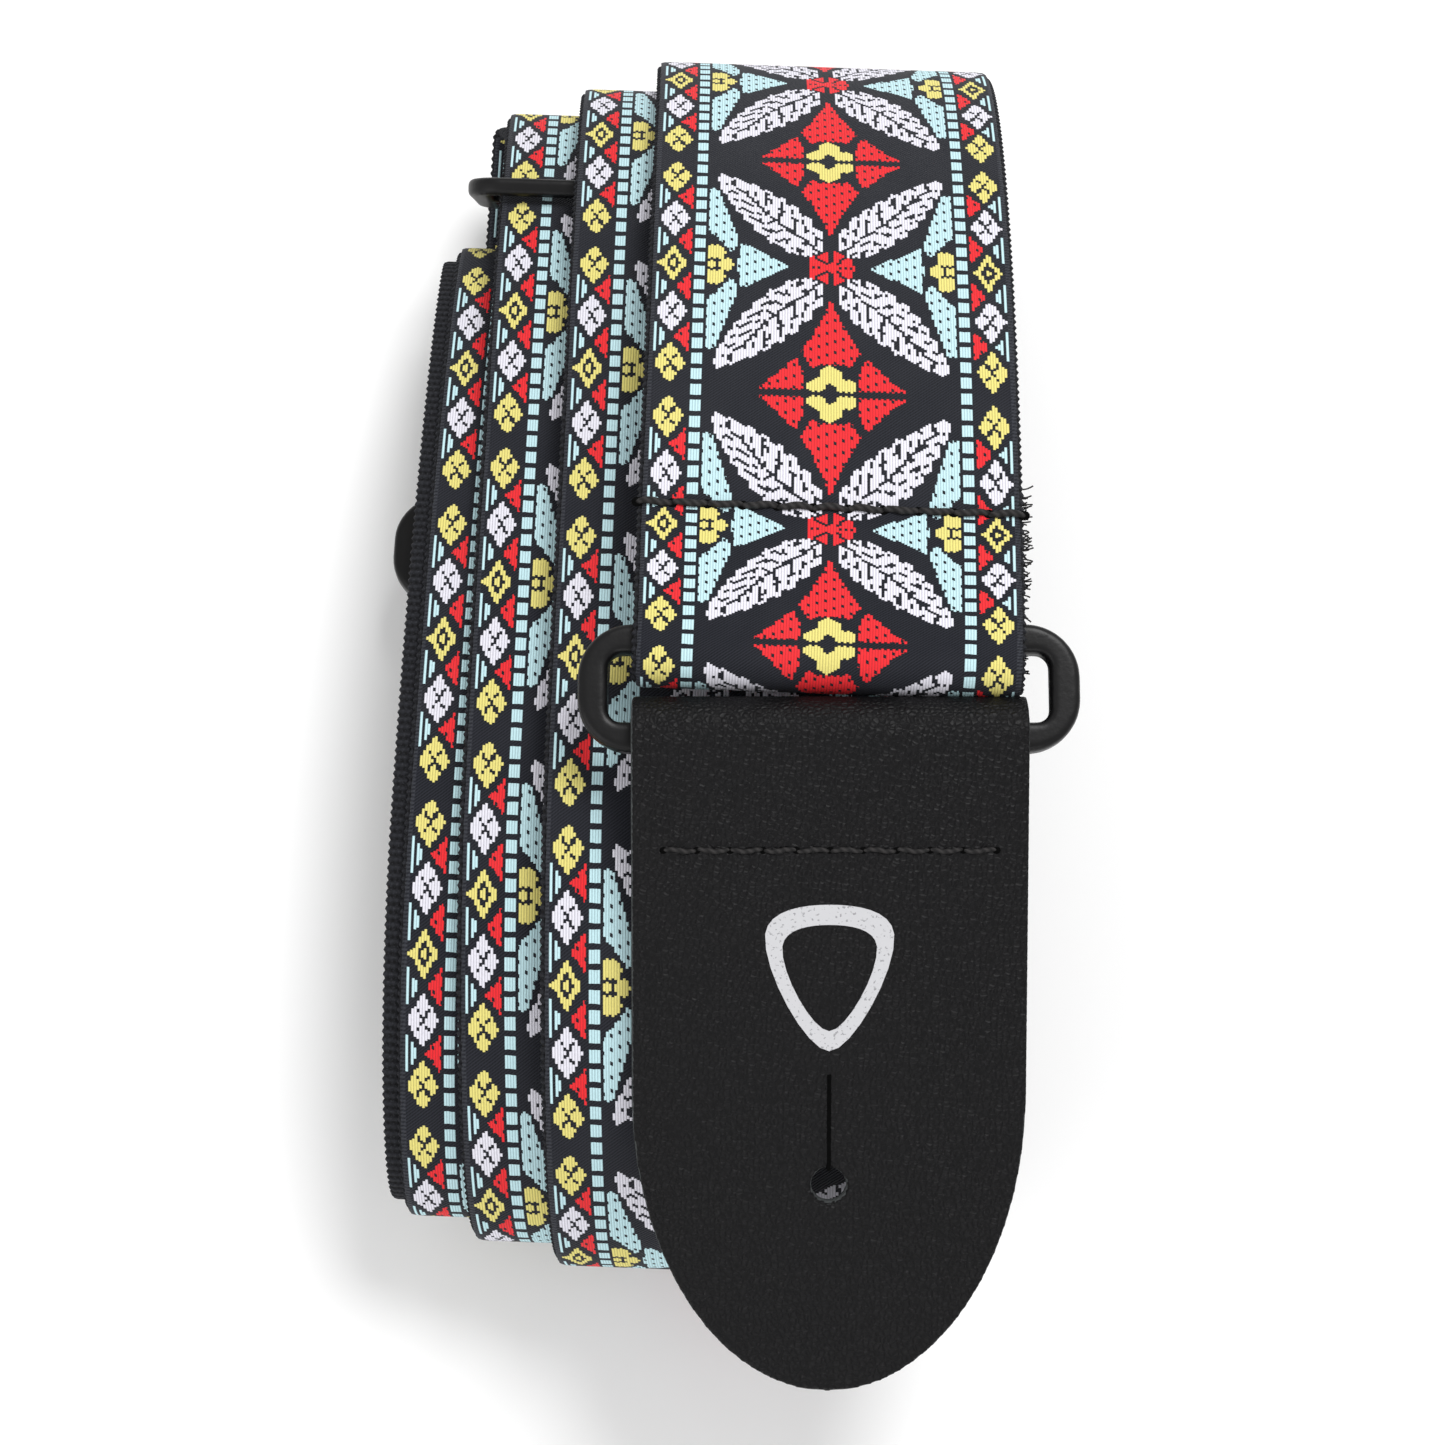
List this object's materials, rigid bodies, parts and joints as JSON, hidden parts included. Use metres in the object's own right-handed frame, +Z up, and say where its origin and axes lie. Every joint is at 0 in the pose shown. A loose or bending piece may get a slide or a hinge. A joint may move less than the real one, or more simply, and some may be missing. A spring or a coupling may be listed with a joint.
{
  "type": "guitar strap",
  "caption": "Coiled woven strap on webbing backing, with oval end rings, keyholed leather end tabs and a length slider.",
  "frame": {"origin": "on the table under the middle of the coil's bounding box", "axes": "+Z up from the table; +Y along the coil's long axis, away from the leather tab on top; +X across the strap"},
  "size_m": [0.0954, 0.2002, 0.0687],
  "materials": {
    "webbing": "matte black ribbed polypropylene webbing",
    "jacquard": "woven jacquard ribbon, satin weft figures in pale aqua, red, yellow and white on a black ground",
    "thread": "black heavy sewing thread",
    "ring_plastic": "satin black moulded plastic",
    "slider_plastic": "satin black moulded plastic",
    "leather": "black pebble-grained leather with a soft sheen, cut edges grey and slightly fuzzy",
    "foil": "silver hot-stamped foil with a speckled lustre"
  },
  "bodies": {
    "strap": {"strap_webbing": "webbing", "jacquard_ribbon": "jacquard", "ring_seam_thread": "thread"},
    "ring_a": {"ring_a": "ring_plastic"},
    "tab_a": {"leather_tab_a": "leather", "tab_a_thread": "thread", "tab_a_emblem": "foil"},
    "ring_b": {"ring_b": "ring_plastic"},
    "tab_b": {"leather_tab_b": "leather", "tab_b_thread": "thread", "tab_b_emblem": "foil"},
    "slider": {"slider": "slider_plastic", "tail_webbing": "webbing"}
  },
  "joints": [
    {"name": "ring_a_swing", "type": "hinge", "parent": "strap", "child": "ring_a", "pos_m": [0.01542, -0.00635, 0.06454], "axis": [-1, 0, 0], "range_deg": [0, 60]},
    {"name": "tab_a_swing", "type": "hinge", "parent": "ring_a", "child": "tab_a", "pos_m": [0.01542, -0.01918, 0.0632], "axis": [-1, 0, 0], "range_deg": [0, 80]},
    {"name": "ring_b_swing", "type": "hinge", "parent": "strap", "child": "ring_b", "pos_m": [-0.01493, 0.02857, 0.01538], "axis": [-0.9993, 0.0384, 0], "range_deg": [0, 2.5]},
    {"name": "tab_b_swing", "type": "hinge", "parent": "ring_b", "child": "tab_b", "pos_m": [-0.01543, 0.01568, 0.01538], "axis": [-0.9993, 0.0384, 0], "range_deg": [0, 1.5]},
    {"name": "slider_slide", "type": "slide", "parent": "strap", "child": "slider", "axis": [-0.0353, -0.9181, 0.3948], "range_m": [0, 0.004]}
  ]
}
